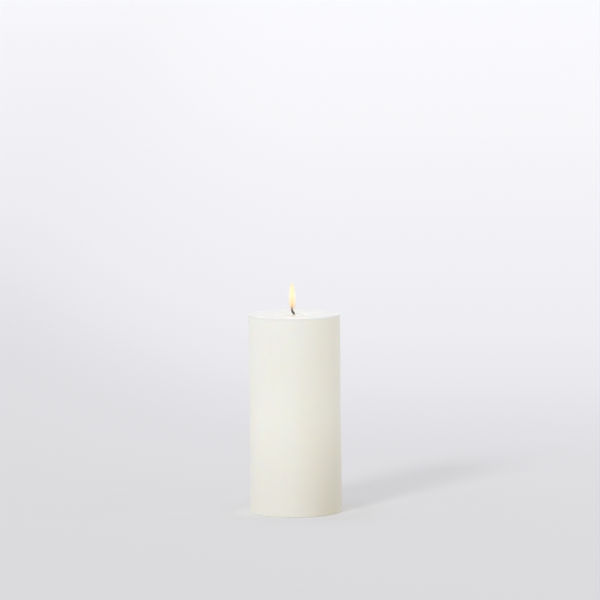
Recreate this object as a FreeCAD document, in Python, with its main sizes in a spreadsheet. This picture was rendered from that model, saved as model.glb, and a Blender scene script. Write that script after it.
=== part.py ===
"""Unity candle: a lit ivory pillar candle, as its separate pieces, in millimetres.

The origin is the centre of the standing face, +Z runs up the candle's axis, and the
charred end of the wick leans towards -X.  The driving sizes are plain numbers in the
sheet "Sizes", with the radii and heights worked out from them below; every piece is a
body whose sketches and features are bound to those cells.
"""
import FreeCAD, Part
import math
import os
import Sketcher
from FreeCAD import Vector

PARTS_FOLDER = "parts"

# Driving sizes, in mm, or in degrees where the name says angle.
DRIVING = [
    ("candle_dia", 70.0, "outside diameter of the pillar"),
    ("candle_height", 152.4, "standing face to top face"),
    ("skin_wall", 1.8, "overdipped skin down the side"),
    ("skin_cap", 3.2, "overdipped skin over the top"),
    ("rim_round", 0.6, "radius of the top rim"),
    ("foot_round", 0.3, "radius of the edge it stands on"),
    ("dish_dia", 34.0, "shallow dish melted round the wick"),
    ("dish_depth", 1.3, "depth of the dish at the wick"),
    ("pool_dia", 14.0, "edge of the liquid wax lying in the dish"),
    ("pool_gap", 0.2, "radial gap between the liquid wax and the wick"),
    ("wick_dia", 2.0, "braided wick"),
    ("wick_gap", 0.05, "radial gap between the wick and what it passes through"),
    ("wick_bend", 3.0, "radius of the bend where the wick leaves the wax"),
    ("wick_lean_angle", 32.0, "how far that bend leans the wick from upright"),
    ("wick_lean_run", 0.8, "straight run between the two bends"),
    ("wick_curl", 5.0, "radius of the bend back to upright"),
    ("wick_tip_angle", 5.0, "lean of the tip, back towards the axis"),
    ("wick_tip_run", 3.4, "straight run at the charred tip"),
    ("tab_dia", 22.0, "plate of the wick tab"),
    ("tab_plate", 0.4, "thickness of the tab's tin plate"),
    ("tab_recess", 0.5, "how far the plate sits above the standing face"),
    ("tab_gap", 0.3, "gap between the tab and the wax round it"),
    ("neck_wall", 0.4, "wall of the tab's neck"),
    ("neck_height", 6.0, "height of the neck above the plate"),
    ("neck_flare", 0.6, "outer radius where the plate turns up into the neck"),
    ("bead_dia", 14.0, "middle of the stiffening bead pressed up in the plate"),
    ("bead_round", 1.3, "outer radius of that bead"),
    ("bead_sink", 0.4, "how far the bead's centre lies under the plate"),
    ("flame_offset", 1.3, "how far the flame stands off the axis, on the wick's side"),
    ("flame_lift", 2.0, "height of the flame's foot above the top face"),
    ("flame_height", 23.5, "foot to tip of the flame"),
    ("flame_gap", 0.4, "gap between the wick and the glowing wall round it"),
    ("flame_wall", 0.45, "glowing wall round the dark zone at the wick"),
    ("flame_swell", 0.7, "how much further the belly stands out than the foot"),
    ("flame_belly", 7.5, "height of the widest part above the foot"),
    ("flame_tip_round", 0.5, "radius of the flame's tip"),
    ("dark_height", 13.0, "height of the dark zone above the flame's foot"),
]

# Radii and heights that the pieces share, worked out from the driving sizes.
WORKED_OUT = [
    ("candle_r", "candle_dia / 2"),
    ("core_r", "candle_dia / 2 - skin_wall"),
    ("core_top", "candle_height - skin_cap"),
    ("wick_r", "wick_dia / 2"),
    ("wick_hole_r", "wick_r + wick_gap"),
    # The dish is a shallow cap of a large ball, and the liquid wax lies level in it.
    ("dish_r", "dish_dia / 2"),
    ("dish_ball", "(dish_r ^ 2 + dish_depth ^ 2) / (2 * dish_depth)"),
    ("dish_floor", "candle_height - dish_depth"),
    ("pool_r", "pool_dia / 2"),
    ("pool_hole_r", "wick_r + pool_gap"),
    ("pool_level", "dish_floor + dish_ball - sqrt(dish_ball ^ 2 - pool_r ^ 2)"),
    ("pool_floor", "dish_floor + dish_ball - sqrt(dish_ball ^ 2 - pool_hole_r ^ 2)"),
    # The wick's line: upright to the dish, a bend, a short run, a bend back and the tip.
    ("lean_x", "-wick_bend * (1 - cos(wick_lean_angle * 1 deg))"),
    ("lean_z", "dish_floor + wick_bend * sin(wick_lean_angle * 1 deg)"),
    ("curl_x", "lean_x - wick_lean_run * sin(wick_lean_angle * 1 deg)"),
    ("curl_z", "lean_z + wick_lean_run * cos(wick_lean_angle * 1 deg)"),
    ("tip_x", "curl_x + wick_curl * (cos(wick_lean_angle * 1 deg) - cos(wick_tip_angle * 1 deg))"),
    ("tip_z", "curl_z + wick_curl * (sin(wick_lean_angle * 1 deg) + sin(wick_tip_angle * 1 deg))"),
    ("wick_end_x", "tip_x + wick_tip_run * sin(wick_tip_angle * 1 deg)"),
    ("wick_end_z", "tip_z + wick_tip_run * cos(wick_tip_angle * 1 deg)"),
    # The tab: a plate with a pressed bead, turned up into a neck that grips the wick.
    ("tab_r", "tab_dia / 2"),
    ("neck_r", "wick_hole_r + neck_wall"),
    ("neck_top", "tab_plate + neck_height"),
    ("neck_under", "neck_flare + tab_plate"),
    ("bead_r", "bead_dia / 2"),
    ("bead_crown", "bead_round - bead_sink"),
    ("bead_inner", "bead_round - tab_plate"),
    ("bead_half", "sqrt(bead_round ^ 2 - (bead_sink + tab_plate) ^ 2)"),
    ("bead_inner_half", "sqrt(bead_inner ^ 2 - bead_sink ^ 2)"),
    ("tab_pocket_r", "tab_r + tab_gap"),
    ("tab_pocket_top", "tab_recess + bead_crown"),
    ("neck_pocket_r", "neck_r + tab_gap"),
    ("neck_pocket_top", "tab_recess + neck_top + tab_gap"),
    # The flame clears the wick where it leans furthest from the flame's own axis.
    ("dark_foot_r", "wick_r + abs(tip_x + flame_offset) + flame_gap"),
    ("dark_r", "dark_foot_r + flame_swell"),
    ("flame_foot_r", "dark_foot_r + flame_wall"),
    ("flame_r", "flame_foot_r + flame_swell"),
    ("low_arc", "(flame_swell ^ 2 + flame_belly ^ 2) / (2 * flame_swell)"),
]


def teardrop_cells(drop):
    """Cells for a teardrop above its belly: a long arc that starts upright, and a round tip.

    The tip's ball lies inside the long arc and touches it, so the two centres and the
    point where they meet are on one line.
    """
    return [
        (f"{drop}_rise", f"{drop}_height - flame_tip_round - flame_belly"),
        (f"{drop}_side_arc",
         f"({drop}_r ^ 2 + {drop}_rise ^ 2 - flame_tip_round ^ 2) / (2 * ({drop}_r - flame_tip_round))"),
        (f"{drop}_share", f"flame_tip_round / ({drop}_side_arc - flame_tip_round)"),
        (f"{drop}_join_r", f"{drop}_share * ({drop}_side_arc - {drop}_r)"),
        (f"{drop}_join_z", f"{drop}_height - flame_tip_round + {drop}_share * {drop}_rise"),
    ]


WORKED_OUT += teardrop_cells("flame") + teardrop_cells("dark")

document = FreeCAD.newDocument("unity_candle")
sheet = document.addObject("Spreadsheet::Sheet", "Sizes")
cells = [(alias, str(value), meaning) for alias, value, meaning in DRIVING]
cells += [(alias, "=" + formula, "worked out") for alias, formula in WORKED_OUT]
for row, (alias, content, meaning) in enumerate(cells, start=1):
    sheet.set(f"A{row}", meaning)
    sheet.set(f"B{row}", content)
    sheet.setAlias(f"B{row}", alias)
document.recompute()


def number(formula):
    """What a formula comes to now, for placing geometry before it is constrained."""
    return float(sheet.evalExpression(formula))


def new_body(label):
    """An empty body whose label is the piece's name."""
    body = document.addObject("PartDesign::Body", label)
    body.Label = label
    return body


def new_sketch(body, name, plane):
    """A sketch on one of the body's own origin planes."""
    sketch = body.newObject("Sketcher::SketchObject", name)
    origin_plane = next(item for item in body.Origin.OriginFeatures if item.Role == plane)
    sketch.AttachmentSupport = [(origin_plane, "")]
    sketch.MapMode = "FlatFace"
    return sketch


def constrain(sketch, formula, kind, *where):
    """A dimension on the sketch that follows a formula of the sheet."""
    index = sketch.addConstraint(Sketcher.Constraint(kind, *where, number(formula)))
    sketch.setExpression(f"Constraints[{index}]", formula)


def pin_corner(sketch, edge, end, corner):
    """Hold one end of an edge at the corner's two formulas; 0 means on the axis itself."""
    for kind, formula, axis in zip(("DistanceX", "DistanceY"), corner, (-2, -1)):
        if formula == "0":
            sketch.addConstraint(Sketcher.Constraint("PointOnObject", edge, end, axis))
        else:
            constrain(sketch, formula, kind, edge, end)


def arc_between(start, end, radius, turn):
    """The short arc between two points; turn is 1 for anticlockwise, -1 for clockwise."""
    chord = end - start
    rise = math.sqrt(radius ** 2 - chord.Length ** 2 / 4)
    middle = (start + end) * 0.5
    centre = middle + Vector(-chord.y, chord.x, 0).normalize() * rise * turn
    first, last = (start, end) if turn > 0 else (end, start)
    angles = [math.atan2(point.y - centre.y, point.x - centre.x) for point in (first, last)]
    return Part.ArcOfCircle(Part.Circle(centre, Vector(0, 0, 1), radius), *angles)


def draw_line(sketch, corners, arcs, closed):
    """Edges through the corners, all bound to the sheet.

    Each corner is a pair of formulas.  arcs gives, by the number of the corner where an
    edge starts, the formula of that edge's radius and its turn; other edges are straight.
    """
    points = [Vector(number(across), number(up), 0) for across, up in corners]
    count = len(corners) if closed else len(corners) - 1
    ends = []
    for edge in range(count):
        start, end = points[edge], points[(edge + 1) % len(points)]
        if edge in arcs:
            radius, turn = arcs[edge]
            sketch.addGeometry(arc_between(start, end, number(radius), turn))
            ends.append((1, 2) if turn > 0 else (2, 1))
        else:
            sketch.addGeometry(Part.LineSegment(start, end))
            ends.append((1, 2))
    for edge in range(count if closed else count - 1):
        follower = (edge + 1) % count
        sketch.addConstraint(
            Sketcher.Constraint("Coincident", edge, ends[edge][1], follower, ends[follower][0]))
    for edge in range(count):
        pin_corner(sketch, edge, ends[edge][0], corners[edge])
        if edge in arcs:
            constrain(sketch, arcs[edge][0], "Radius", edge)
    if not closed:
        pin_corner(sketch, count - 1, ends[-1][1], corners[-1])


def ring_sketch(body, name, radius, level="0 mm"):
    """A circle round the body's Z axis, at a height."""
    sketch = new_sketch(body, name, "XY_Plane")
    sketch.setExpression("AttachmentOffset.Base.z", level)
    circle = Part.Circle(Vector(0, 0, 0), Vector(0, 0, 1), number(radius))
    ring = sketch.addGeometry(circle)
    sketch.addConstraint(Sketcher.Constraint("Coincident", ring, 3, -1, 1))
    constrain(sketch, radius, "Radius", ring)
    return sketch


def pad(body, name, radius, height):
    """A round pad up from the standing face."""
    feature = body.newObject("PartDesign::Pad", name)
    feature.Profile = ring_sketch(body, name + "_ring", radius)
    feature.setExpression("Length", height)
    return feature


def bore_up(body, name, radius, depth):
    """A round pocket cut upwards from the standing face; it has to take wax away."""
    document.recompute()
    before = body.Shape.Volume
    feature = body.newObject("PartDesign::Pocket", name)
    feature.Profile = ring_sketch(body, name + "_ring", radius)
    feature.setExpression("Length", depth)
    feature.Reversed = True
    document.recompute()
    if body.Shape.Volume >= before:
        raise RuntimeError(f"{name} cuts nothing")
    return feature


def turned(body, name, kind, corners, arcs):
    """A Revolution or a Groove of an outline round the body's Z axis."""
    sketch = new_sketch(body, name + "_outline", "XZ_Plane")
    draw_line(sketch, corners, arcs, closed=True)
    feature = body.newObject("PartDesign::" + kind, name)
    feature.Profile = sketch
    feature.ReferenceAxis = (sketch, ["V_Axis"])
    feature.Angle = 360
    return feature


def round_rim(body, name, feature, level, radius, amount):
    """A fillet on the circular edge at a height."""
    document.recompute()
    rims = []
    for index, edge in enumerate(feature.Shape.Edges, start=1):
        curve = edge.Curve
        if isinstance(curve, Part.Circle) and abs(curve.Center.z - number(level)) < 1e-6:
            if abs(curve.Radius - number(radius)) < 1e-6:
                rims.append(f"Edge{index}")
    fillet = body.newObject("PartDesign::Fillet", name)
    fillet.Base = (feature, rims)
    fillet.setExpression("Radius", amount)
    return fillet


def make_wax_core():
    """The pale pillar inside, bored for the wick and pocketed below for its tab."""
    body = new_body("wax_core")
    pad(body, "core_pillar", "Sizes.core_r", "Sizes.core_top")
    bore_up(body, "wick_bore", "Sizes.wick_hole_r", "Sizes.core_top")
    bore_up(body, "neck_pocket", "Sizes.neck_pocket_r", "Sizes.neck_pocket_top")
    bore_up(body, "tab_pocket", "Sizes.tab_pocket_r", "Sizes.tab_pocket_top")
    return body


def make_wax_skin():
    """The overdip: a cup of harder wax upside down over the core, dished on top."""
    body = new_body("wax_skin")
    block = pad(body, "skin_block", "Sizes.candle_r", "Sizes.candle_height")
    rim = round_rim(body, "top_rim", block, "Sizes.candle_height", "Sizes.candle_r", "Sizes.rim_round")
    round_rim(body, "foot_edge", rim, "0", "Sizes.candle_r", "Sizes.foot_round")
    bore_up(body, "core_room", "Sizes.core_r", "Sizes.core_top")
    turned(
        body, "dish", "Groove",
        [
            ("0", "Sizes.dish_floor"),
            ("Sizes.dish_r", "Sizes.candle_height"),
            ("Sizes.dish_r", "Sizes.candle_height + Sizes.dish_depth"),
            ("0", "Sizes.candle_height + Sizes.dish_depth"),
        ],
        {0: ("Sizes.dish_ball", 1)})
    bore_up(body, "wick_hole", "Sizes.wick_hole_r", "Sizes.candle_height")
    return body


def make_melt_pool():
    """The lens of liquid wax that lies in the dish round the wick."""
    body = new_body("melt_pool")
    turned(
        body, "liquid_lens", "Revolution",
        [
            ("Sizes.pool_hole_r", "Sizes.pool_floor"),
            ("Sizes.pool_r", "Sizes.pool_level"),
            ("Sizes.pool_hole_r", "Sizes.pool_level"),
        ],
        {0: ("Sizes.dish_ball", 1)})
    return body


def make_wick():
    """One wick from the tab's underside to the charred tip, along straight runs and arcs."""
    body = new_body("wick")
    line = new_sketch(body, "wick_line", "XZ_Plane")
    corners = [
        ("0", "Sizes.tab_recess"),
        ("0", "Sizes.dish_floor"),
        ("Sizes.lean_x", "Sizes.lean_z"),
        ("Sizes.curl_x", "Sizes.curl_z"),
        ("Sizes.tip_x", "Sizes.tip_z"),
        ("Sizes.wick_end_x", "Sizes.wick_end_z"),
    ]
    draw_line(line, corners, {1: ("Sizes.wick_bend", 1), 3: ("Sizes.wick_curl", -1)}, closed=False)
    braid = body.newObject("PartDesign::AdditivePipe", "braid")
    braid.Profile = ring_sketch(body, "braid_ring", "Sizes.wick_r", "Sizes.tab_recess")
    braid.Spine = line
    document.recompute()
    expected = line.Shape.Length * math.pi * number("wick_r") ** 2
    if abs(body.Shape.Volume - expected) > 0.001 * expected:
        raise RuntimeError("the wick's volume is not its section times its length")
    return body


def make_wick_sustainer():
    """The stamped tab: a beaded tin plate turned up into the neck that grips the wick."""
    body = new_body("wick_sustainer")
    body.setExpression("Placement.Base.z", "Sizes.tab_recess")
    turned(
        body, "stamping", "Revolution",
        [
            ("Sizes.wick_hole_r + Sizes.neck_under", "0"),
            ("Sizes.bead_r - Sizes.bead_inner_half", "0"),
            ("Sizes.bead_r + Sizes.bead_inner_half", "0"),
            ("Sizes.tab_r", "0"),
            ("Sizes.tab_r", "Sizes.tab_plate"),
            ("Sizes.bead_r + Sizes.bead_half", "Sizes.tab_plate"),
            ("Sizes.bead_r - Sizes.bead_half", "Sizes.tab_plate"),
            ("Sizes.neck_r + Sizes.neck_flare", "Sizes.tab_plate"),
            ("Sizes.neck_r", "Sizes.neck_under"),
            ("Sizes.neck_r", "Sizes.neck_top"),
            ("Sizes.wick_hole_r", "Sizes.neck_top"),
            ("Sizes.wick_hole_r", "Sizes.neck_under"),
        ],
        {
            1: ("Sizes.bead_inner", -1),
            5: ("Sizes.bead_round", 1),
            7: ("Sizes.neck_flare", -1),
            11: ("Sizes.neck_under", 1),
        })
    return body


def teardrop(body, name, kind, drop):
    """A teardrop standing on its cut-off foot, added to the body or taken from it."""
    return turned(
        body, name, kind,
        [
            ("0", "0"),
            (f"Sizes.{drop}_foot_r", "0"),
            (f"Sizes.{drop}_r", "Sizes.flame_belly"),
            (f"Sizes.{drop}_join_r", f"Sizes.{drop}_join_z"),
            ("0", f"Sizes.{drop}_height"),
        ],
        {
            1: ("Sizes.low_arc", 1),
            2: (f"Sizes.{drop}_side_arc", 1),
            3: ("Sizes.flame_tip_round", 1),
        })


def make_flame():
    """The glowing mantle, hollow round the wick where the vapour hasn't lit yet."""
    body = new_body("flame")
    body.setExpression("Placement.Base.x", "-Sizes.flame_offset")
    body.setExpression("Placement.Base.z", "Sizes.candle_height + Sizes.flame_lift")
    teardrop(body, "mantle", "Revolution", "flame")
    teardrop(body, "dark_zone", "Groove", "dark")
    return body


pieces = [
    make_wax_core(),
    make_wax_skin(),
    make_melt_pool(),
    make_wick(),
    make_wick_sustainer(),
    make_flame(),
]
document.recompute()

for item in document.Objects:
    if "Invalid" in item.State or "Error" in item.State:
        raise RuntimeError(f"{item.Name} did not build: {item.State}")
for piece in pieces:
    if piece.Shape.isNull() or not piece.Shape.isValid():
        raise RuntimeError(f"{piece.Label} has no valid shape")

os.makedirs(PARTS_FOLDER, exist_ok=True)
for piece in pieces:
    piece.Shape.exportStep(os.path.join(PARTS_FOLDER, piece.Label + ".step"))
    box = piece.Shape.optimalBoundingBox()
    print(f"{piece.Label}: {piece.Shape.Volume / 1000:.3f} cm3, z {box.ZMin:.2f} to {box.ZMax:.2f} mm")
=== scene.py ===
# %% [markdown] # A lit unity candle  This lesson dresses a packed CAD model of a pillar
# candle for a close look: an ivory overdip over a pale core, a pool of liquid wax, a
# braided wick, a tin tab and a flame. Everything made here is placed from those pieces, so
# nothing has to be fitted.

# %% Load the frame
import math

import bmesh
import bpy
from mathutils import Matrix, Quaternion, Vector


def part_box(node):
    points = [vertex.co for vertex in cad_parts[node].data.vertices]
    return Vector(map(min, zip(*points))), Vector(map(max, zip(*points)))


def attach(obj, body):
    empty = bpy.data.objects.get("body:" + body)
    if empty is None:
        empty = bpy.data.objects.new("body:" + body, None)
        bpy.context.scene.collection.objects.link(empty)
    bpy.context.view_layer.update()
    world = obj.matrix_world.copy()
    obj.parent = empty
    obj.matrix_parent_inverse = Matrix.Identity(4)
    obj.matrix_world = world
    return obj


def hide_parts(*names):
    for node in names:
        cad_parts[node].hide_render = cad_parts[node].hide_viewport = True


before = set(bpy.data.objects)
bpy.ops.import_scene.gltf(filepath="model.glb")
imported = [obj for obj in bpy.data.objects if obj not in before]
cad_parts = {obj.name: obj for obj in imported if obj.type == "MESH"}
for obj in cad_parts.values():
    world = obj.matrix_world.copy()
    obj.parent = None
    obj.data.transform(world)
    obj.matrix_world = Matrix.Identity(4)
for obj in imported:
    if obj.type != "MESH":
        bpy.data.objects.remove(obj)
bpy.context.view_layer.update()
print("CAD pieces:", sorted(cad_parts))

# %% [markdown]
# ## The camera
#
# A long lens from nearly four metres keeps the candle's sides almost parallel, and the
# camera stands a little higher than the candle, so both round ends show as thin ellipses.
# A camera can be aimed by hand, by a constraint, or by turning its own axis onto a target
# with to_track_quat.  The last is one line and leaves nothing live in the file.  The small
# roll comes after it, about the line of sight, because this candle leans a touch left.

# %% Camera
CAMERA_BACK = 3.79
CAMERA_HEIGHT = 0.5592
AIM = Vector((0.0046, 0.0, 0.1627))
LENS_MM = 299.4
SENSOR_MM = 36.0
ROLL = math.radians(-0.66)

camera = bpy.data.objects.new("camera", bpy.data.cameras.new("camera"))
bpy.context.scene.collection.objects.link(camera)
bpy.context.scene.camera = camera
camera.data.sensor_width = SENSOR_MM
camera.data.lens = LENS_MM
camera.data.clip_end = 100.0
camera.location = (0.0, -CAMERA_BACK, CAMERA_HEIGHT)
sight = AIM - camera.location
camera.rotation_mode = "QUATERNION"
camera.rotation_quaternion = sight.to_track_quat("-Z", "Y") @ Quaternion((0, 0, 1), ROLL)
looks_down = math.degrees(math.asin(-sight.z / sight.length))
print(f"camera {sight.length:.2f} m away, looking {looks_down:.1f} degrees down")

# %% [markdown]
# ## The candle's own sizes
#
# Each CAD piece says where it is through the lowest and highest corner of its box.  Reading
# the sizes from there, once, gives them names that the later steps can use.

# %% Sizes read from the CAD pieces
MM = 0.001

_, skin_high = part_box("wax_skin")
_, core_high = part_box("wax_core")
_, pool_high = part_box("melt_pool")
wick_low, wick_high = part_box("wick")
flame_low, flame_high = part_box("flame")

candle_r = skin_high.x
candle_top = skin_high.z
core_r = core_high.x
core_top = core_high.z
pool_r = pool_high.x
pool_level = pool_high.z
wick_r = wick_high.y
flame_axis = (flame_low.x + flame_high.x) / 2
flame_r = flame_high.y
print(f"candle {2 * candle_r / MM:.1f} mm across and {candle_top / MM:.1f} mm high")
print(f"wick {2 * wick_r / MM:.2f} mm thick")

# %% [markdown]
# ## Two ways to make a mesh
#
# Wax, liquid and flame are all round about an axis, so one helper turns an outline, as a
# lathe or a potter's wheel would.  A Screw modifier does the same, but a mesh written point
# by point can also be given small unevenness, which is what tells wax from plastic.
# The outline is a closed loop of (radius, height) pairs.  Points on the axis itself would
# make a bunch of zero-size faces there, so they are welded into one.

# %% Turning an outline into a closed mesh
SHARP_ANGLE = math.radians(60)


def turned_piece(name, outline, steps, uneven=None, axis_x=0.0):
    """Turn a closed loop of (radius, height) pairs; uneven(angle, radius, height) moves a point."""
    mesh = bmesh.new()
    rings = []
    for radius, height in outline:
        if radius == 0.0:
            rings.append([mesh.verts.new((axis_x, 0.0, height))] * steps)
            continue
        ring = []
        for step in range(steps):
            angle = 2 * math.pi * step / steps
            out, up = uneven(angle, radius, height) if uneven else (0.0, 0.0)
            across = radius + out
            ring.append(mesh.verts.new(
                (axis_x + across * math.cos(angle), across * math.sin(angle), height + up)))
        rings.append(ring)
    for index, ring in enumerate(rings):
        upper = rings[(index + 1) % len(rings)]
        for step in range(steps):
            after = (step + 1) % steps
            corners = [ring[step], ring[after], upper[after], upper[step]]
            distinct = list(dict.fromkeys(corners))
            if len(distinct) > 2:
                mesh.faces.new(distinct)
    return finished_piece(name, mesh)


def finished_piece(name, mesh):
    """Turn a bmesh into an object: faces outwards, smooth except over sharp edges."""
    bmesh.ops.recalc_face_normals(mesh, faces=mesh.faces)
    data = bpy.data.meshes.new(name)
    mesh.to_mesh(data)
    mesh.free()
    data.shade_smooth()
    data.set_sharp_from_angle(angle=SHARP_ANGLE)
    piece = bpy.data.objects.new(name, data)
    bpy.context.scene.collection.objects.link(piece)
    print(f"{name}: {len(data.vertices)} points, {len(data.polygons)} faces")
    return piece


def spread(start, end, count):
    """count values from start up to but not including end, evenly spaced."""
    return [start + (end - start) * index / count for index in range(count)]


def rounded(centre, radius, start_deg, end_deg, count):
    """Points of an arc, as (radius, height) pairs, the end point left out."""
    turns = [math.radians(angle) for angle in spread(start_deg, end_deg, count)]
    return [(centre[0] + radius * math.cos(turn), centre[1] + radius * math.sin(turn))
            for turn in turns]


print("five even steps from 0 to 1:", spread(0.0, 1.0, 5))

# %% [markdown]
# ## Shader sums in plain Python
#
# A material is a small network of nodes.  Written node by node it is long and hard to read,
# so a Flow wraps one output socket and lets +, -, *, / and ** add the Math nodes.  Each has
# its reflected form too, so that 1 - mask works as well as mask - 1.

# %% Flow
class Flow:
    """An output socket that Python's operators work on."""

    def __init__(self, finish, socket):
        self.finish, self.socket = finish, socket

    def _math(self, operation, *terms):
        inputs = dict(enumerate(terms))
        return self.finish.add("ShaderNodeMath", {"operation": operation}, inputs)

    def __add__(self, other):
        return self._math("ADD", self, other)

    def __radd__(self, other):
        return self._math("ADD", other, self)

    def __sub__(self, other):
        return self._math("SUBTRACT", self, other)

    def __rsub__(self, other):
        return self._math("SUBTRACT", other, self)

    def __mul__(self, other):
        return self._math("MULTIPLY", self, other)

    def __rmul__(self, other):
        return self._math("MULTIPLY", other, self)

    def __truediv__(self, other):
        return self._math("DIVIDE", self, other)

    def __rtruediv__(self, other):
        return self._math("DIVIDE", other, self)

    def __pow__(self, other):
        return self._math("POWER", self, other)

    def __rpow__(self, other):
        return self._math("POWER", other, self)

    def clamped(self):
        """The same value kept between 0 and 1."""
        return self.finish.add("ShaderNodeClamp", {}, {"Value": self})

    def between(self, low, high):
        """0 below low, 1 above high, and a soft ramp from one to the other."""
        settings = {"interpolation_type": "SMOOTHSTEP"}
        return self.finish.add(
            "ShaderNodeMapRange", settings, {"Value": self, "From Min": low, "From Max": high})


print("a Flow takes +, -, *, / and **, from either side")

# %% [markdown]
# ## One material at a time
#
# A Finish is one material being made.  Every node that isn't plain arithmetic comes from its
# add method: the node's type, its settings, which are set first, and its inputs.  Colours go
# through a Mix node, because a Math node would turn them grey, and places go through Vector
# Math.  Textures could be painted or laid out with a UV map, but wax, cotton and tin have no
# print on them, so they are all worked out from where a point is in the candle.

# %% Finish
class Finish:
    """One material being made, with a method that adds any node."""

    def __init__(self, name):
        self.material = bpy.data.materials.new(name)
        self.material.use_nodes = True
        self.nodes = self.material.node_tree.nodes
        self.links = self.material.node_tree.links
        self.nodes.clear()

    def add(self, kind, settings=None, inputs=None, output=0):
        """Add a node, first its settings, then its inputs; give back one output as a Flow."""
        node = self.nodes.new(kind)
        for key, value in (settings or {}).items():
            if key == "stops":
                self._set_stops(node.color_ramp, value)
            else:
                setattr(node, key, value)
        for key, value in (inputs or {}).items():
            if isinstance(value, Flow):
                self.links.new(value.socket, node.inputs[key])
            else:
                node.inputs[key].default_value = value
        return Flow(self, node.outputs[output]) if node.outputs else None

    def _set_stops(self, ramp, stops):
        while len(ramp.elements) < len(stops):
            ramp.elements.new(0.5)
        for element, (place, colour) in zip(ramp.elements, stops):
            element.position = place
            element.color = (*colour, 1.0)

    def place(self):
        """Where the shaded point is, in metres, in the candle's own frame."""
        return self.add("ShaderNodeTexCoord", output="Object")

    def parts_of(self, vector):
        """The x, y and z of a vector as three Flows."""
        first = self.add("ShaderNodeSeparateXYZ", {}, {0: vector})
        outputs = first.socket.node.outputs
        return [Flow(self, outputs[index]) for index in range(3)]

    def stretched(self, vector, by):
        """A place with each axis multiplied by its own factor."""
        return self.add("ShaderNodeVectorMath", {"operation": "MULTIPLY"}, {0: vector, 1: by})

    def noise(self, vector, scale, detail):
        """Smooth random values from about 0 to 1."""
        return self.add(
            "ShaderNodeTexNoise", {}, {"Vector": vector, "Scale": scale, "Detail": detail})

    def mix(self, factor, first, second):
        """A colour that goes from first to second as factor goes from 0 to 1."""
        settings = {"data_type": "RGBA"}
        return self.add("ShaderNodeMix", settings, {0: factor, 6: first, 7: second}, output=2)

    def bump(self, height, strength, distance):
        """A normal tilted by a height, with distance as the depth in metres."""
        return self.add(
            "ShaderNodeBump", {}, {"Height": height, "Strength": strength, "Distance": distance})

    def surface(self, **inputs):
        """End the network in a Principled surface; words_with_underscores name its sockets."""
        named = {key.replace("_", " "): value for key, value in inputs.items()}
        shader = self.add("ShaderNodeBsdfPrincipled", {}, named)
        self.add("ShaderNodeOutputMaterial", {}, {"Surface": shader})
        return self.material


def paint(piece, material):
    """Give a piece one material, whatever it had before."""
    piece.data.materials.clear()
    piece.data.materials.append(material)
    print(f"{piece.name} wears {material.name}: {len(material.node_tree.nodes)} nodes")


print("a Finish has", ", ".join(name for name in vars(Finish) if not name.startswith("_")))

# %% [markdown]
# ## The overdip's shape
#
# The core is dipped once or twice in harder ivory wax, which leaves a skin over the side and
# the top.  It is almost a perfect cylinder, but a dipped surface is never ruled straight: it
# swells and dries by a few hundredths of a millimetre, the top rim keeps a faint raised lip,
# and the lit wick has melted a shallow dish.  A cylinder with a Bevel modifier would give the
# rim and nothing else, so the outline is written as a formula and turned.

# %% Overdip outline
RIM_ROUND = 0.45 * MM
FOOT_ROUND = 0.12 * MM
LIP_DROP = 0.15 * MM
LIP_INNER, LIP_OUTER = 25 * MM, 32.5 * MM
DISH_R, DISH_DEPTH, DISH_BLEND = 17 * MM, 1.3 * MM, 0.25 * MM
WICK_GAP = 0.05 * MM
BORE_R = wick_r + WICK_GAP
OUTLINE_COUNTS = {"inside": 12, "under_cap": 6, "top": 72, "rim": 10, "side": 150, "foot": 6}


def smoothly(value, low, high):
    """0 below low, 1 above high, and a soft ramp from one to the other."""
    share = min(max((value - low) / (high - low), 0.0), 1.0)
    return share * share * (3 - 2 * share)


def top_height(radius):
    """Height of the candle's top face at a radius: a lip, a flat and the melted dish."""
    lowered = LIP_DROP * (1 - smoothly(radius, LIP_INNER, LIP_OUTER))
    cap = DISH_DEPTH * (1 - (radius / DISH_R) ** 2) - lowered
    dish = (cap + math.sqrt(cap ** 2 + DISH_BLEND ** 2)) / 2
    return candle_top - lowered - dish


def overdip_outline():
    """The closed loop round the skin's wall: up the inside, over the top, down the outside."""
    rim_centre = (candle_r - RIM_ROUND, candle_top - RIM_ROUND)
    foot_centre = (candle_r - FOOT_ROUND, FOOT_ROUND)
    count = OUTLINE_COUNTS
    loop = [(core_r, height) for height in spread(0.0, core_top, count["inside"])]
    loop += [(radius, core_top) for radius in spread(core_r, BORE_R, count["under_cap"])]
    loop += [(BORE_R, core_top)]
    loop += [(radius, top_height(radius))
             for radius in spread(BORE_R, rim_centre[0], count["top"])]
    loop += rounded(rim_centre, RIM_ROUND, 90, 0, count["rim"])
    loop += [(candle_r, height) for height in spread(rim_centre[1], FOOT_ROUND, count["side"])]
    loop += rounded(foot_centre, FOOT_ROUND, 0, -90, count["foot"])
    loop += [(foot_centre[0], 0.0)]
    return loop


print(f"the overdip's outline has {len(overdip_outline())} points")

# %% [markdown]
# The unevenness is a sum of a few long waves round and up the candle.  A noise texture with a
# Displace modifier would do as well, but waves in code give the same candle on every run, and
# their sizes can be read: 0.05 mm is enough to make a highlight wander.

# %% Overdip mesh
DIP_WAVES = [
    # times round, waves per metre up, depth in mm, start
    (2, 9.0, 0.050, 0.4),
    (3, 21.0, 0.030, 2.1),
    (5, 34.0, 0.018, 4.0),
    (9, 58.0, 0.008, 1.2),
]
TOP_WAVES = [
    # times round, depth in mm, start
    (2, 0.040, 0.9),
    (3, 0.028, 2.7),
    (7, 0.010, 5.1),
]
WAVES_INWARD = 0.05 * MM
CALM_FOOT = 6 * MM
RIM_CALM = 0.5
DIP_STEPS = 256


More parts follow.
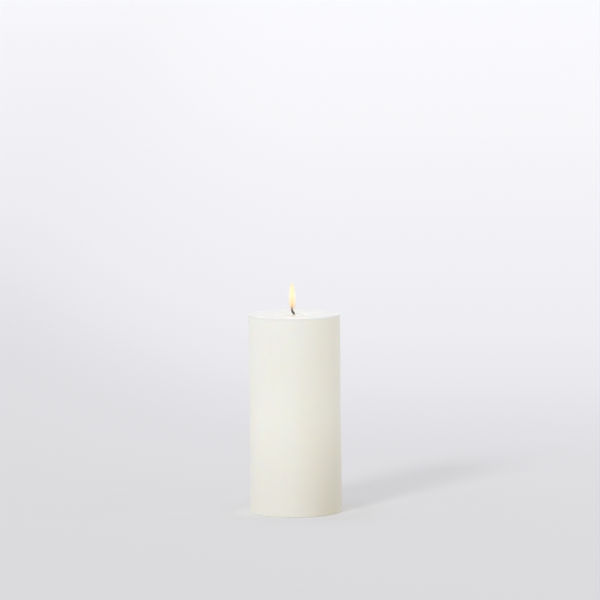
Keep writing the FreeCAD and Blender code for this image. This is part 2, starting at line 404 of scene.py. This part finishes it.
def dip_waves(angle, radius, height):
    """How far the overdip stands proud at a point, in metres, outwards and upwards."""
    if radius <= core_r or height < FOOT_ROUND:
        return 0.0, 0.0
    out = 0.0
    for times, climb, depth, start in DIP_WAVES:
        out += depth * MM * math.sin(times * angle + 2 * math.pi * climb * height + start)
    up = 0.0
    for times, depth, start in TOP_WAVES:
        up += depth * MM * math.sin(times * angle + start)
    off_foot = smoothly(height, FOOT_ROUND, CALM_FOOT)
    near_top = smoothly(height, candle_top - 2 * RIM_ROUND, candle_top - RIM_ROUND)
    out = (out - WAVES_INWARD) * off_foot * (1 - RIM_CALM * near_top)
    return out, (up - WAVES_INWARD) * near_top


overdip = turned_piece("ivory_overdip", overdip_outline(), DIP_STEPS, dip_waves)

# %% [markdown]
# ## The overdip's finish
#
# Ivory wax is satin: light goes a little way in and comes out warmer, and the surface is
# smooth enough for a broad sheen.  The Principled shader's subsurface does that, with its
# amounts set on the shader itself.  Over it go faint clouds and runs of colour from uneven
# cooling, painted light that makes the wax paler high up, painted shade that makes it
# creamier and darker down the side away from the key and towards the foot, a greyer, more
# even tone on the top face, fine pores as bump, and a wet shine that grows towards the
# liquid pool.

# %% Overdip wax
WAX_IOR = 1.44
CLOUDS_PER_METRE, RUNS_PER_METRE = 38.0, 160.0
PORES_PER_METRE, ORANGE_PEEL_PER_METRE = 2600.0, 420.0
DIP_BUMP, DIP_BUMP_DEPTH = 0.12, 0.15 * MM
SATIN_ROUGHNESS = 0.40
DIP_SCATTER, DIP_SCATTER_DEPTH = (1.0, 0.75, 0.5), 1.2 * MM
IVORY = {
    "middle": (0.825, 0.822, 0.750, 1.0),
    # painted light and shade: paler high up, creamier and darker on the side away from the key and
    # towards the foot
    "high up": (0.825, 0.822, 0.765, 1.0),
    "one side": (0.782, 0.752, 0.630, 1.0),
    "foot": (0.705, 0.682, 0.615, 1.0),
    "foot, one side": (0.648, 0.618, 0.508, 1.0),
    "clouds": (0.790, 0.765, 0.665, 1.0),
    "top": (0.773, 0.772, 0.750, 1.0),
    "by the pool": (0.78, 0.75, 0.67, 1.0),
}


def make_overdip_wax():
    """Satin ivory wax, with its tones laid over one another from the body to the pool."""
    finish = Finish("ivory_overdip_wax")
    place = finish.place()
    across, along, height = finish.parts_of(place)
    from_axis = (across * across + along * along) ** 0.5
    clouds = finish.noise(finish.stretched(place, (1.0, 1.0, 0.45)), CLOUDS_PER_METRE, 3.0)
    runs = finish.noise(finish.stretched(place, (1.0, 1.0, 0.12)), RUNS_PER_METRE, 2.0)
    # painted light pales the wax high up; painted shade darkens the side away from the key and the
    # foot
    upper = height.between(0.45 * candle_top, candle_top)
    painted_shade_side = across.between(-0.2 * candle_r, 0.9 * candle_r)
    painted_shade_foot = 1 - height.between(0.0, 0.55 * candle_top)
    warmer = (clouds.between(0.35, 0.75) * 0.20 + runs.between(0.4, 0.8) * 0.10).clamped()
    on_top = height.between(candle_top - 3 * MM, candle_top - 0.8 * MM)
    wet = on_top * (1 - from_axis.between(pool_r * 0.95, pool_r * 1.45))
    body = finish.mix(upper, IVORY["middle"], IVORY["high up"])
    body = finish.mix(painted_shade_side * 0.65, body, IVORY["one side"])
    painted_foot_shade = finish.mix(painted_shade_side, IVORY["foot"], IVORY["foot, one side"])
    body = finish.mix(painted_shade_foot * (painted_shade_side * 0.5 + 0.5), body, painted_foot_shade)
    body = finish.mix(warmer, body, IVORY["clouds"])
    body = finish.mix(on_top, body, IVORY["top"])
    body = finish.mix(wet * 0.3, body, IVORY["by the pool"])
    pores = finish.noise(place, PORES_PER_METRE, 2.0)
    orange_peel = finish.noise(place, ORANGE_PEEL_PER_METRE, 2.0)
    relief = pores * 0.25 + orange_peel * 0.75
    return finish.surface(
        Base_Color=body,
        Roughness=SATIN_ROUGHNESS + clouds * 0.10 - wet * 0.30,
        Normal=finish.bump(relief, DIP_BUMP, DIP_BUMP_DEPTH),
        IOR=WAX_IOR,
        Subsurface_Weight=1.0,
        Subsurface_Radius=DIP_SCATTER,
        Subsurface_Scale=DIP_SCATTER_DEPTH,
    )


paint(overdip, make_overdip_wax())
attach(overdip, "root")
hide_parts("wax_skin")

# %% [markdown]
# ## The core's finish
#
# Underneath, the core shows: wax beads pressed hard together, whiter and chalkier than the
# dip.  Its CAD shape is right as it is, so only its material changes.  Voronoi cells are
# the natural choice for pressed grains: each cell a bead, each border a fine seam.

# %% Core wax
BEADS_PER_METRE = 620.0
SEAM_WIDTH = 0.12
CHALK_WHITE = (0.86, 0.84, 0.78, 1.0)
CHALK_CREAM = (0.80, 0.775, 0.69, 1.0)
SEAM_TONE = (0.74, 0.70, 0.60, 1.0)
BEAD_BUMP, BEAD_BUMP_DEPTH = 0.35, 0.12 * MM
CHALKY_ROUGHNESS = 0.62
CORE_SCATTER, CORE_SCATTER_DEPTH = (1.0, 0.8, 0.6), 0.8 * MM


def make_core_wax():
    """Chalky wax beads pressed together, with darker seams between them."""
    finish = Finish("pressed_core_wax")
    place = finish.place()
    cells = {"Vector": place, "Scale": BEADS_PER_METRE}
    beads = finish.add("ShaderNodeTexVoronoi", {"feature": "F1"}, cells)
    seams = finish.add("ShaderNodeTexVoronoi", {"feature": "DISTANCE_TO_EDGE"}, cells)
    tone = finish.noise(place, 60.0, 3.0)
    chalk = finish.mix(tone.between(0.3, 0.7), CHALK_WHITE, CHALK_CREAM)
    pressed = seams.between(0.0, SEAM_WIDTH)
    colour = finish.mix(pressed, SEAM_TONE, chalk)
    relief = pressed * 0.7 - beads * 0.3
    return finish.surface(
        Base_Color=colour,
        Roughness=CHALKY_ROUGHNESS + tone * 0.12,
        Normal=finish.bump(relief, BEAD_BUMP, BEAD_BUMP_DEPTH),
        IOR=WAX_IOR,
        Subsurface_Weight=1.0,
        Subsurface_Radius=CORE_SCATTER,
        Subsurface_Scale=CORE_SCATTER_DEPTH,
    )


paint(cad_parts["wax_core"], make_core_wax())

# %% [markdown]
# ## The liquid wax
#
# Round the wick lies a lens of liquid wax, glossy as oil.  It climbs the wick a little, as
# every liquid does that wets what stands in it.  Two things could be done with its underside:
# rest it exactly on the dish, where the renderer cannot tell which of two equal surfaces is
# in front, or sink it a hair into the wax.  The second always looks clean.

# %% Liquid wax
POOL_SINK = 0.04 * MM
SHORE_WIDTH, SHORE_HEIGHT = 0.25 * MM, 0.03 * MM
EDGE_STEP = 0.02 * MM
CLIMB, CLIMB_REACH = 0.45 * MM, 0.7 * MM
UNDER_ROWS, TOP_ROWS, POOL_STEPS = 24, 60, 160


def pool_top(radius):
    """Height of the liquid at a radius: level, climbing up the wick and, a hair, up the shore."""
    level = max(pool_level, top_height(radius) + SHORE_HEIGHT)
    return level + CLIMB * math.exp(-(radius - wick_r) / CLIMB_REACH)


def pool_outline():
    """The closed loop round the liquid: out along its underside, back along its surface."""
    edge = pool_r
    while top_height(edge) < pool_level:
        edge += EDGE_STEP
    shore = edge + SHORE_WIDTH
    under = [(radius, top_height(radius) - POOL_SINK)
             for radius in spread(BORE_R, shore, UNDER_ROWS)]
    corner = (shore, top_height(shore) - POOL_SINK)
    surface = [(radius, pool_top(radius)) for radius in spread(shore, BORE_R, TOP_ROWS)]
    return under + [corner] + surface + [(BORE_R, pool_top(BORE_R))]


liquid = turned_piece("liquid_wax", pool_outline(), POOL_STEPS)

# %% [markdown]
# Liquid wax is nearly clear, so it is seen mostly by its gloss.  A refracting glass would
# come to mind first, but over a film this thin it bends nothing that the eye could see, and
# it renders with more noise than a partly clear surface with a coat.  The liquid throws no
# shadow, because real liquid wax lets the light through.

# %% Liquid wax finish
SHALLOW_TINT, DEEP_TINT_AND_FLAME_GLOW = (0.88, 0.87, 0.83, 1.0), (0.84, 0.76, 0.61, 1.0)
SHALLOW_ALPHA, ADDED_WHEN_DEEP = 0.15, 0.45
DRIFT_PER_METRE = 180.0
DRIFT_BUMP, DRIFT_BUMP_DEPTH = 0.06, 0.1 * MM
OILY_ROUGHNESS = 0.03


def make_liquid_wax():
    """Clear and glossy, more solid where deep; warmer there, partly painted flame light."""
    finish = Finish("liquid_wax")
    place = finish.place()
    across, along, _height = finish.parts_of(place)
    from_axis = (across * across + along * along) ** 0.5
    deep = 1 - from_axis.between(0.15 * pool_r, 0.75 * pool_r)
    # the warm tint by the wick is partly the liquid's own colour and partly painted warm light from
    # the flame
    tint = finish.mix(deep, SHALLOW_TINT, DEEP_TINT_AND_FLAME_GLOW)
    drift = finish.noise(place, DRIFT_PER_METRE, 1.0)
    return finish.surface(
        Base_Color=tint,
        Roughness=OILY_ROUGHNESS + drift * 0.03,
        Alpha=deep * ADDED_WHEN_DEEP + SHALLOW_ALPHA,
        Normal=finish.bump(drift, DRIFT_BUMP, DRIFT_BUMP_DEPTH),
        IOR=WAX_IOR,
        Coat_Weight=0.5,
        Coat_Roughness=0.02,
    )


paint(liquid, make_liquid_wax())
liquid.visible_shadow = False
liquid.visible_diffuse = False
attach(liquid, "root")
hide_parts("melt_pool")

# %% [markdown]
# ## The wick
#
# A pillar's wick is a braid of cotton yarns: half of them wind one way, half the other, and
# each passes over one and under the next.  A single tube with a bump map would look right
# from far off only, so every yarn is its own tube that follows the wick's line.  The line is
# upright through the wax, then bends towards -X as it burns and curls back at its tip.

# %% The wick's line
BEND_R, LEAN = 3.0 * MM, math.radians(32.0)
LEAN_RUN = 0.8 * MM
LINE_STEP = 0.05 * MM
CURL_R, TIP_LEAN = 5.0 * MM, math.radians(5.0)
bend_start = candle_top - DISH_DEPTH


def wick_point(distance):
    """A point of the wick's line, and the line's lean there, a distance up from its foot."""
    x, z, lean = 0.0, wick_low.z, 0.0
    arc_in, arc_back = BEND_R * LEAN, CURL_R * (LEAN + TIP_LEAN)
    stages = [
        (bend_start - wick_low.z, 0.0),
        (arc_in, 1 / BEND_R),
        (LEAN_RUN, 0.0),
        (arc_back, -1 / CURL_R),
        (math.inf, 0.0),
    ]
    for length, curve in stages:
        run = min(distance, length)
        turned = lean + curve * run
        if curve:
            x -= (math.cos(lean) - math.cos(turned)) / curve
            z += (math.sin(turned) - math.sin(lean)) / curve
        else:
            x -= run * math.sin(lean)
            z += run * math.cos(lean)
        lean = turned
        distance -= run
        if distance <= 0:
            break
    return Vector((x, 0.0, z)), lean


def line_length():
    """How long the wick's line is, up to the height of the CAD wick's end."""
    distance = bend_start - wick_low.z
    while wick_point(distance)[0].z < wick_high.z - LINE_STEP:
        distance += LINE_STEP
    return distance


wick_length = line_length()
wick_tip = wick_point(wick_length)[0]
print(f"wick {wick_length / MM:.1f} mm long, its end at x = {wick_tip.x / MM:.2f} mm")

# %% [markdown]
# Each yarn's centre runs round the line as a helix whose radius breathes in and out, so that
# it dips under the yarns it meets.  The charred end thins and frays: every yarn burns off at
# its own height and gets lumpy on the way.  A curve with a round bevel would make the tubes,
# but it can't be lumpy without a point for each lump, so the rings are written one by one.

# %% Braided yarns
YARNS = 4
YARN_R = 0.30 * MM
YARN_ORBIT = 0.58 * MM
YARN_WEAVE = 0.12 * MM
BRAID_PITCH = 7.0 * MM
YARN_SIDES = 7
YARN_STEP = 0.35 * MM
CHAR_LENGTH = 8.5 * MM
BRAID_SHRINK, YARN_SHRINK, END_SHRINK = 0.38, 0.30, 0.55
LUMP_DEPTH, LUMP_LENGTH = 0.10, 0.31 * MM
FRAY_LEAST, FRAY_STEP = 0.15, 0.11
LOOK_AHEAD = 0.1 * MM
ACROSS_WICK = Vector((0.0, 1.0, 0.0))


def yarn_centre(distance, yarn, way):
    """Centre of one yarn at a distance along the wick; way is 1 or -1, the way it winds."""
    turn = way * 2 * math.pi * (distance / BRAID_PITCH) + 2 * math.pi * yarn / YARNS
    turn += way * math.pi / YARNS / 2
    dip = YARN_WEAVE * way * math.cos(YARNS * 2 * math.pi * distance / BRAID_PITCH)
    burnt = smoothly(distance, wick_length - CHAR_LENGTH, wick_length)
    orbit = (YARN_ORBIT + dip) * (1 - BRAID_SHRINK * burnt)
    point, lean = wick_point(distance)
    side = Vector((math.cos(lean), 0.0, math.sin(lean)))
    return point + orbit * (math.cos(turn) * side + math.sin(turn) * ACROSS_WICK)


def yarn_end(yarn, way):
    """Where a yarn has burnt off: each a little different, the longest at the CAD wick's end."""
    uneven = (3 * yarn + 2 * (way + 1)) % 7
    return wick_length - (FRAY_LEAST + FRAY_STEP * uneven) * MM


def add_yarn(mesh, yarn, way):
    """One yarn as a closed tube with rounded ends."""
    end = yarn_end(yarn, way)
    count = round(end / YARN_STEP)
    rings = []
    for index in range(count + 1):
        distance = end * index / count
        centre = yarn_centre(distance, yarn, way)
        ahead = yarn_centre(distance + LOOK_AHEAD, yarn, way) - centre
        ahead.normalize()
        first = (first - ahead * first.dot(ahead)) if rings else ahead.orthogonal()
        first.normalize()
        second = ahead.cross(first)
        burnt = smoothly(distance, wick_length - CHAR_LENGTH, wick_length)
        lump = 1 + LUMP_DEPTH * burnt * math.sin(distance / LUMP_LENGTH + 2.3 * yarn + way)
        thick = YARN_R * (1 - YARN_SHRINK * burnt) * lump
        if index in (0, count):
            thick *= END_SHRINK
        ring = []
        for side in range(YARN_SIDES):
            turn = 2 * math.pi * side / YARN_SIDES
            outwards = math.cos(turn) * first + math.sin(turn) * second
            ring.append(mesh.verts.new(centre + thick * outwards))
        rings.append(ring)
    for lower, upper in zip(rings, rings[1:]):
        for side in range(YARN_SIDES):
            after = (side + 1) % YARN_SIDES
            mesh.faces.new((lower[side], lower[after], upper[after], upper[side]))
    mesh.faces.new(list(reversed(rings[0])))
    mesh.faces.new(rings[-1])


braid = bmesh.new()
for yarn in range(YARNS):
    add_yarn(braid, yarn, 1)
    add_yarn(braid, yarn, -1)
wick = finished_piece("braided_wick", braid)

# %% [markdown]
# The wick's colour tells how it burns.  Inside the wax it is cream, just above the liquid it
# is soaked and brown, then black char, and the tip, in the hot wall of the flame, glows.
# One ramp along the height says all of that, and fine fibres break it up.

# %% Wick finish
SOAKED = (0.52, 0.42, 0.26, 1.0), (0.66, 0.57, 0.40, 1.0)
CHAR = (0.050, 0.046, 0.040, 1.0), (0.135, 0.125, 0.108, 1.0)
UNLIT, EMBER = (0.0, 0.0, 0.0, 1.0), (1.0, 0.30, 0.06, 1.0)
EMBER_STRENGTH = 1.6
FIBRES_PER_METRE = 5200.0
FIBRE_BUMP, FIBRE_BUMP_DEPTH = 0.5, 0.05 * MM


def make_wick_cotton():
    """Fibres that go from soaked to burnt to glowing on the way up."""
    finish = Finish("wick_cotton")
    place = finish.place()
    _across, _along, height = finish.parts_of(place)
    fibres = finish.noise(finish.stretched(place, (1.0, 1.0, 0.35)), FIBRES_PER_METRE, 3.0)
    burnt = height.between(pool_level - 0.2 * MM, pool_level + 1.6 * MM)
    char = finish.mix(fibres.between(0.35, 0.7), *CHAR)
    soaked = finish.mix(fibres, *SOAKED)
    colour = finish.mix(burnt, soaked, char)
    glow = height.between(wick_high.z - 2.6 * MM, wick_high.z - 0.3 * MM)
    ember = finish.mix(glow * fibres.between(0.3, 0.6), UNLIT, EMBER)
    return finish.surface(
        Base_Color=colour,
        Roughness=0.45 + burnt * 0.45,
        Emission_Color=ember,
        Emission_Strength=EMBER_STRENGTH,
        Normal=finish.bump(fibres, FIBRE_BUMP, FIBRE_BUMP_DEPTH),
    )


paint(wick, make_wick_cotton())
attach(wick, "root")
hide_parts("wick")

# %% [markdown]
# ## The tin tab
#
# The tab is stamped from tin plate.  Seen from below it shows rolling lines from the sheet, a
# bright bead where the die pressed it, and a few dull spots of wax and flux.  The CAD shape
# has the bead and the neck already, so it keeps its mesh and gets this finish.

# %% Tin plate
TIN_DARK, TIN_BRIGHT = (0.60, 0.60, 0.59, 1.0), (0.78, 0.78, 0.76, 1.0)
WAX_SPOTS = (0.52, 0.50, 0.45, 1.0)
ROLLING_PER_METRE, SPOTS_PER_METRE = 90.0, 330.0
ROLLING_BUMP, ROLLING_BUMP_DEPTH = 0.15, 0.02 * MM


def make_tin_plate():
    """Rolled tin, streaked one way, with a few dull spots."""
    finish = Finish("tin_plate")
    place = finish.place()
    rolled = finish.noise(finish.stretched(place, (1.0, 40.0, 40.0)), ROLLING_PER_METRE, 3.0)
    spots = finish.noise(place, SPOTS_PER_METRE, 3.0).between(0.56, 0.68)
    bright = finish.mix(rolled, TIN_DARK, TIN_BRIGHT)
    colour = finish.mix(spots * 0.6, bright, WAX_SPOTS)
    return finish.surface(
        Base_Color=colour,
        Metallic=1 - spots * 0.35,
        Roughness=0.24 + rolled * 0.18 + spots * 0.25,
        Normal=finish.bump(rolled, ROLLING_BUMP, ROLLING_BUMP_DEPTH),
    )


paint(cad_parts["wick_sustainer"], make_tin_plate())

# %% [markdown]
# ## The flame
#
# A candle flame is a thin glowing wall of soot round a darker zone of vapour.  A volume
# shader can show that, but few programs outside Blender read one, so the flame is three
# closed teardrops, one in another, each of them partly clear.  Looking through the middle
# the eye crosses all of them, and at the edge only the outer one: that is what makes the
# soft border.  Each gets its own colours from foot to tip.

# %% Flame teardrops
FLAME_STEPS = 96
FLAME_ROWS = 60
CROWD_TO_FOOT = 1.15
BELLY_SHARE = 0.32
FOOT_TAPER, FOOT_BLUNT = 2.2, 12
TIP_TAPER, TIP_FULLNESS = 2.4, 0.85
foot_z, tip_z = flame_low.z, flame_high.z


def teardrop(widest, foot_share, bottom, top):
    """A closed outline from the foot to the tip: full at the belly, drawn out to a point."""
    belly = bottom + BELLY_SHARE * (top - bottom)
    outline = [(0.0, bottom)]
    for index in range(1, FLAME_ROWS):
        height = bottom + (top - bottom) * (index / FLAME_ROWS) ** CROWD_TO_FOOT
        if height < belly:
            share = (belly - height) / (belly - bottom)
            radius = widest * (1 - (1 - foot_share) * share ** FOOT_TAPER)
            radius *= min(1.0, (FOOT_BLUNT * (1 - share)) ** 0.5)
        else:
            share = (height - belly) / (top - belly)
            radius = widest * (1 - share ** TIP_TAPER) ** TIP_FULLNESS
        outline.append((radius, height))
    outline.append((0.0, top))
    return outline


print(f"flame {(tip_z - foot_z) / MM:.1f} mm high and {2 * flame_r / MM:.1f} mm across")

# %% [markdown]
# A flame gives light and reflects none, so its shader is black but for its emission.  An
# Emission shader mixed with a Transparent one would look the same, but the Principled
# surface's own sockets come through an export.  The colour runs from amber at the foot to
# pale yellow, and a second ramp says how solid the teardrop looks at each height.

# %% Flame glow
FLAME_STRENGTH = 1.05


def make_flame_glow(name, stops, alphas):
    """Glow for one teardrop: its colour and how solid it looks run from foot to tip."""
    finish = Finish(name)
    _across, _along, height = finish.parts_of(finish.place())
    share = ((height - foot_z) / (tip_z - foot_z)).clamped()
    glow = finish.add("ShaderNodeValToRGB", {"stops": stops}, {"Fac": share})
    grey = [(place, (alpha, alpha, alpha)) for place, alpha in alphas]
    solid = finish.add("ShaderNodeValToRGB", {"stops": grey}, {"Fac": share})
    return finish.surface(
        Base_Color=(0.0, 0.0, 0.0, 1.0),
        Roughness=1.0,
        Specular_IOR_Level=0.0,
        Emission_Color=glow,
        Emission_Strength=FLAME_STRENGTH,
        Alpha=solid,
    )


FLAME_COATS = [
    # name, widest, foot's share of it, bottom and top as shares of the flame's height
    ("flame_veil", 1.0, 0.70, 0.0, 1.035),
    ("flame_mantle", 0.76, 0.66, 0.04, 0.985),
    ("flame_heart", 0.46, 0.60, 0.12, 0.93),
]
GLOWS = {
    # stops of colour, then stops of how solid each teardrop looks, from foot to tip
    "flame_veil": (
        [(0.0, (0.95, 0.76, 0.56)), (0.2, (0.97, 0.78, 0.58)), (0.35, (0.99, 0.91, 0.72)),
         (0.55, (0.99, 0.95, 0.81)), (0.8, (0.99, 0.90, 0.68)), (1.0, (0.98, 0.86, 0.60))],
        [(0.0, 0.02), (0.1, 0.22), (0.2, 0.27), (0.4, 0.34), (0.7, 0.30), (0.85, 0.20),
         (1.0, 0.02)],
    ),
    "flame_mantle": (
        [(0.04, (0.95, 0.74, 0.50)), (0.2, (0.97, 0.75, 0.42)), (0.33, (1.0, 0.84, 0.46)),
         (0.5, (1.0, 0.94, 0.58)), (0.8, (0.99, 0.88, 0.54)), (0.97, (0.97, 0.82, 0.50))],
        [(0.04, 0.04), (0.13, 0.32), (0.2, 0.38), (0.5, 0.48), (0.75, 0.38), (0.9, 0.17),
         (0.97, 0.0)],
    ),
    "flame_heart": (
        [(0.12, (0.95, 0.64, 0.30)), (0.26, (0.95, 0.69, 0.29)), (0.36, (0.99, 0.78, 0.29)),
         (0.5, (0.97, 0.89, 0.38)), (0.7, (0.98, 0.92, 0.46)), (0.92, (0.98, 0.82, 0.40))],
        [(0.12, 0.06), (0.20, 0.42), (0.28, 0.54), (0.5, 0.62), (0.75, 0.45), (0.92, 0.04)],
    ),
}

print("flame coats, outermost first:", ", ".join(coat[0] for coat in FLAME_COATS))

# %% [markdown]
# The three teardrops are turned like the wax.  The outermost reaches a hair past the CAD
# flame's tip, where it has faded to almost nothing.  None of them throws a shadow, because a
# flame can't.

# %% Flame pieces
for name, width, foot_share, bottom, top in FLAME_COATS:
    height = tip_z - foot_z
    outline = teardrop(
        flame_r * width, foot_share, foot_z + bottom * height, foot_z + top * height)
    coat = turned_piece(name, outline, FLAME_STEPS, axis_x=flame_axis)
    paint(coat, make_flame_glow(name + "_glow", *GLOWS[name]))
    coat.visible_shadow = False
    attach(coat, "root")
    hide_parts("flame")

# %% [markdown]
# ## The floor
#
# The candle stands on a pale, seamless studio floor that brightens with distance, a
# painted fall-off of light.  A curved backdrop would do for one camera, but it would stand
# in the way of the others, so this is one wide flat disc whose paint gets lighter away from
# a point in front of the candle.  To the left it stays a shade darker for longer, a painted
# shade.  Round the candle's foot the paint is a little lighter again, painted light for the
# light that pale wax throws down, and least so in front.

# %% Floor
FLOOR_R = 40.0
FLOOR_SIDES = 96
FLOOR_DARKEST = Vector((-0.2, -0.8, 0.0))
FLOOR_REACH = 9.0
LEFT_PAINTED_SHADE = 0.45
LEFT_COMES, LEFT_GOES = (-6.0, -1.5), (-0.40, 0.05)
# painted fall-off of light: the floor's paint gets lighter with distance
FLOOR_PAINTED_FALLOFF = [
    (0.05, (0.648, 0.641, 0.645)),
    (0.135, (0.684, 0.676, 0.684)),
    (0.18, (0.742, 0.737, 0.756)),
    (0.23, (0.784, 0.778, 0.796)),
    (0.34, (0.816, 0.810, 0.824)),
    (0.58, (0.862, 0.860, 0.865)),
    (1.0, (0.884, 0.884, 0.895)),
]
GLOW_REACH = 20 * MM
CLOSE_GLOW, WIDE_GLOW, FRONT_GLOW = 0.75, 0.30, 0.35
FLOOR_GLOW = (0.755, 0.750, 0.745, 1.0)


def make_floor():
    """A wide flat disc whose paint holds painted light and shade."""
    mesh = bmesh.new()
    bmesh.ops.create_circle(mesh, cap_ends=True, segments=FLOOR_SIDES, radius=FLOOR_R)
    floor = finished_piece("studio_floor", mesh)
    finish = Finish("studio_floor_paint")
    place = finish.place()
    across, along, _height = finish.parts_of(place)
    offset = finish.add(
        "ShaderNodeVectorMath", {"operation": "DISTANCE"}, {0: place, 1: FLOOR_DARKEST},
        output="Value")
    # painted shade to the left, over the painted fall-off of light
    painted_left_shade = across.between(*LEFT_COMES) * (1 - across.between(*LEFT_GOES))
    share = (offset / FLOOR_REACH * (1 - painted_left_shade * LEFT_PAINTED_SHADE)).clamped()
    painted_floor_light = finish.add("ShaderNodeValToRGB", {"stops": FLOOR_PAINTED_FALLOFF}, {"Fac": share})
    from_candle = finish.add(
        "ShaderNodeVectorMath", {"operation": "LENGTH"}, {0: place}, output="Value")
    close = 1 - from_candle.between(candle_r * 0.98, candle_r + GLOW_REACH)
    wide = 1 - from_candle.between(candle_r, candle_r + 6 * GLOW_REACH)
    beside = along.between(-1.3 * candle_r, -0.1 * candle_r) * (1 - FRONT_GLOW) + FRONT_GLOW
    painted_floor_light = finish.mix((close * CLOSE_GLOW + wide * WIDE_GLOW) * beside, painted_floor_light, FLOOR_GLOW)
    paint(floor, finish.surface(Base_Color=painted_floor_light, Roughness=0.9, Specular_IOR_Level=0.1))
    return floor


make_floor()

# %% [markdown]
# ## The light
#
# High-key studio light: a pale sky all round gives most of it, and one soft key from the
# front left gives the candle its shape and the faint shadow to its right.  A sun with a
# wide angle is the simplest soft key, because it is the same for every camera.  A second,
# weaker and warmer sun fills the right, and a tiny lamp in the flame warms the wax round the
# wick, as the real flame does.

# %% Light
SKY = (0.950, 0.952, 0.980, 1.0)
SKY_STRENGTH = 1.0
FLAME_WATTS, FLAME_COLOUR, FLAME_LAMP_R = 0.0005, (1.0, 0.80, 0.52), 2.5 * MM
LAMP_SHARE = 0.45
SUNS = [
    # name, strength, colour, spread in degrees, where it comes from
    ("soft_key", 0.82, (0.99, 1.0, 1.0), 13, (-0.49, -0.871, 0.54)),
    ("warm_fill", 0.12, (1.0, 0.93, 0.80), 50, (0.90, -0.35, 0.25)),
]

world = bpy.data.worlds.new("studio")
bpy.context.scene.world = world
world.use_nodes = True
world.node_tree.nodes["Background"].inputs["Color"].default_value = SKY
world.node_tree.nodes["Background"].inputs["Strength"].default_value = SKY_STRENGTH


def add_sun(name, strength, colour, spread_deg, comes_from):
    """A distant light: the same from every side, softer the wider its spread."""
    data = bpy.data.lights.new(name, "SUN")
    data.energy, data.color, data.angle = strength, colour, math.radians(spread_deg)
    sun = bpy.data.objects.new(name, data)
    bpy.context.scene.collection.objects.link(sun)
    sun.rotation_mode = "QUATERNION"
    sun.rotation_quaternion = Vector(comes_from).to_track_quat("Z", "Y")


lamp = bpy.data.lights.new("flame_light", "POINT")
lamp.energy, lamp.color, lamp.shadow_soft_size = FLAME_WATTS, FLAME_COLOUR, FLAME_LAMP_R
flame_light = bpy.data.objects.new("flame_light", lamp)
flame_light.location = (flame_axis, 0.0, foot_z + LAMP_SHARE * (tip_z - foot_z))
bpy.context.scene.collection.objects.link(flame_light)
for sun in SUNS:
    add_sun(*sun)

bpy.context.scene.view_settings.view_transform = "Standard"
print("lights:", ", ".join(light.name for light in bpy.data.lights))

# %% [markdown]
# ## Sizes, and the end
#
# The looks may stand a little proud of the CAD model, and no more.
